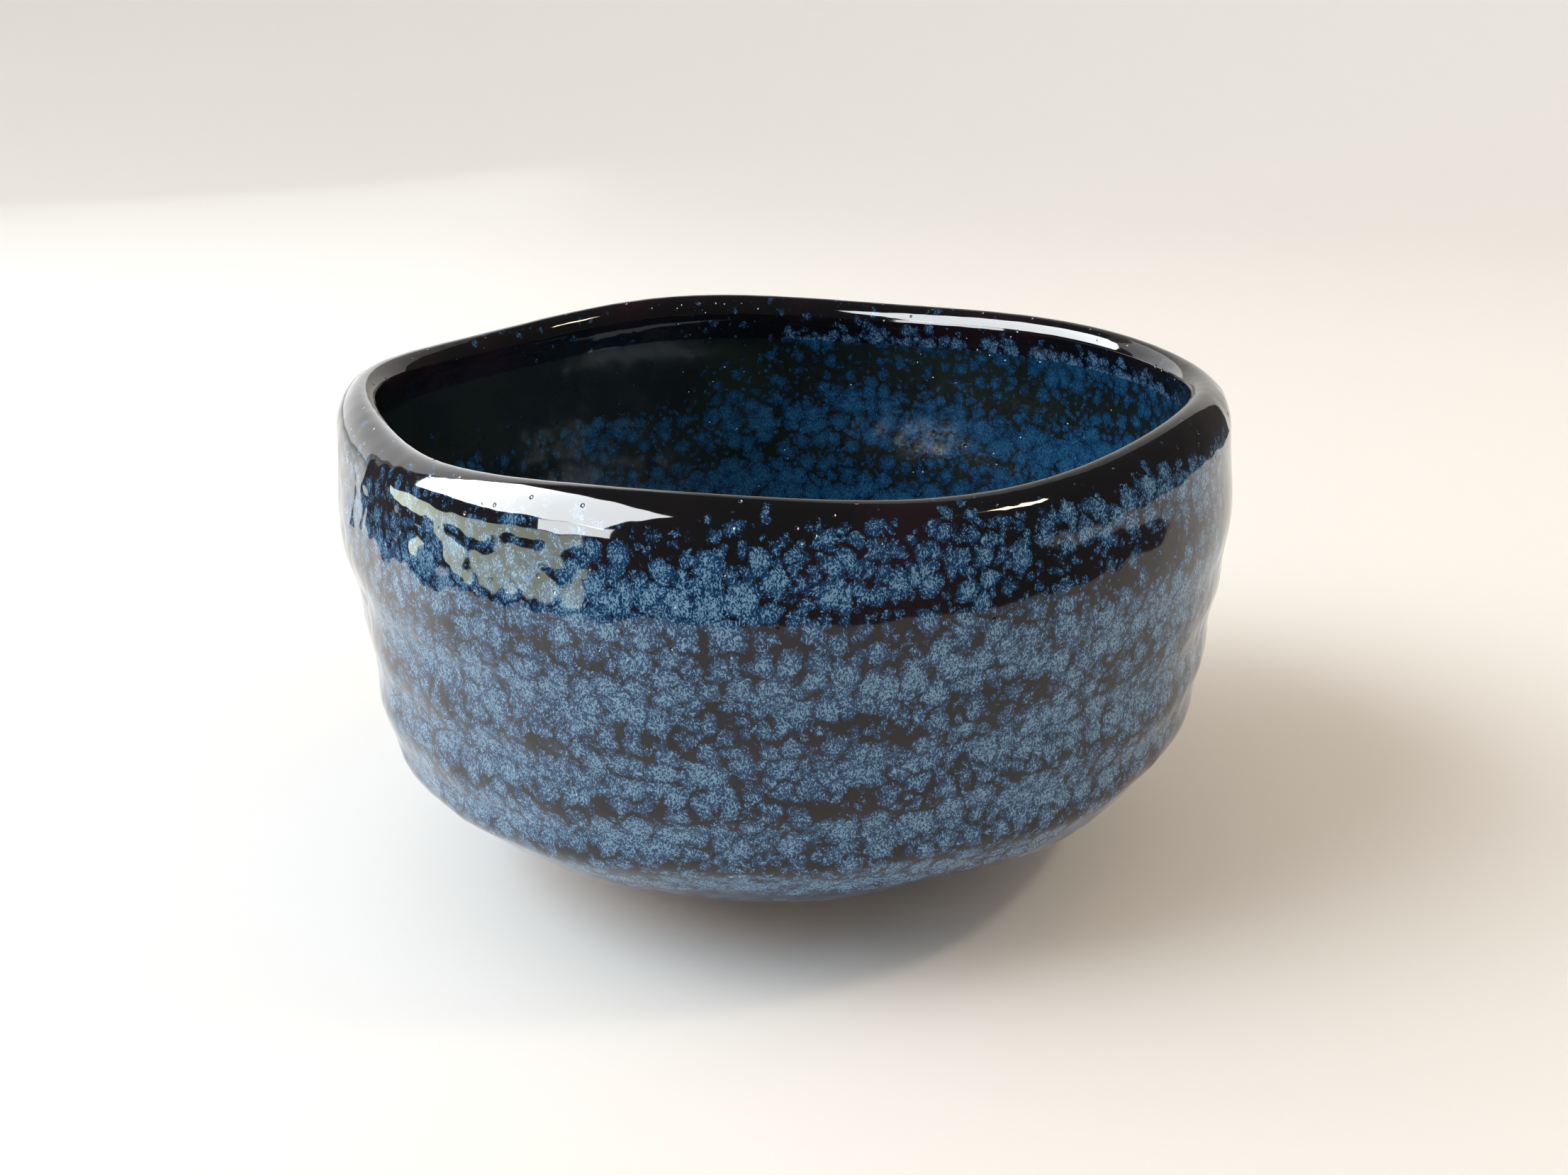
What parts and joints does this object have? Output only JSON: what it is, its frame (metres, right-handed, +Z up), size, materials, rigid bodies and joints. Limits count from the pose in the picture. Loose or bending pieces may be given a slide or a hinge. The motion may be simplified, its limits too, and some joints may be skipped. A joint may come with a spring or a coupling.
{
  "type": "matcha bowl",
  "caption": "Hand-shaped matcha bowl with a wavy rolled lip, near-vertical wall, trimmed foot ring and thick glossy glaze.",
  "frame": {"origin": "middle of the foot ring's resting face, on the table", "axes": "+Z up through the bowl's mouth; the front of the bowl, where the rim is lowest, faces -Y"},
  "size_m": [0.1237, 0.1236, 0.0699],
  "materials": {
    "clay": "matt fired stoneware, dark brown",
    "blue_glaze": "glossy deep blue with pale blue crystals over brown-black",
    "inner_blue_glaze": "glossy dark blue over brown-black",
    "rim_glaze": "glossy brown-black where the glaze runs thin"
  },
  "bodies": {
    "root": {"clay_body": "clay", "foot_ring": "clay", "outer_glaze": "blue_glaze", "inner_glaze": "inner_blue_glaze", "rim_glaze": "rim_glaze"}
  },
  "joints": []
}
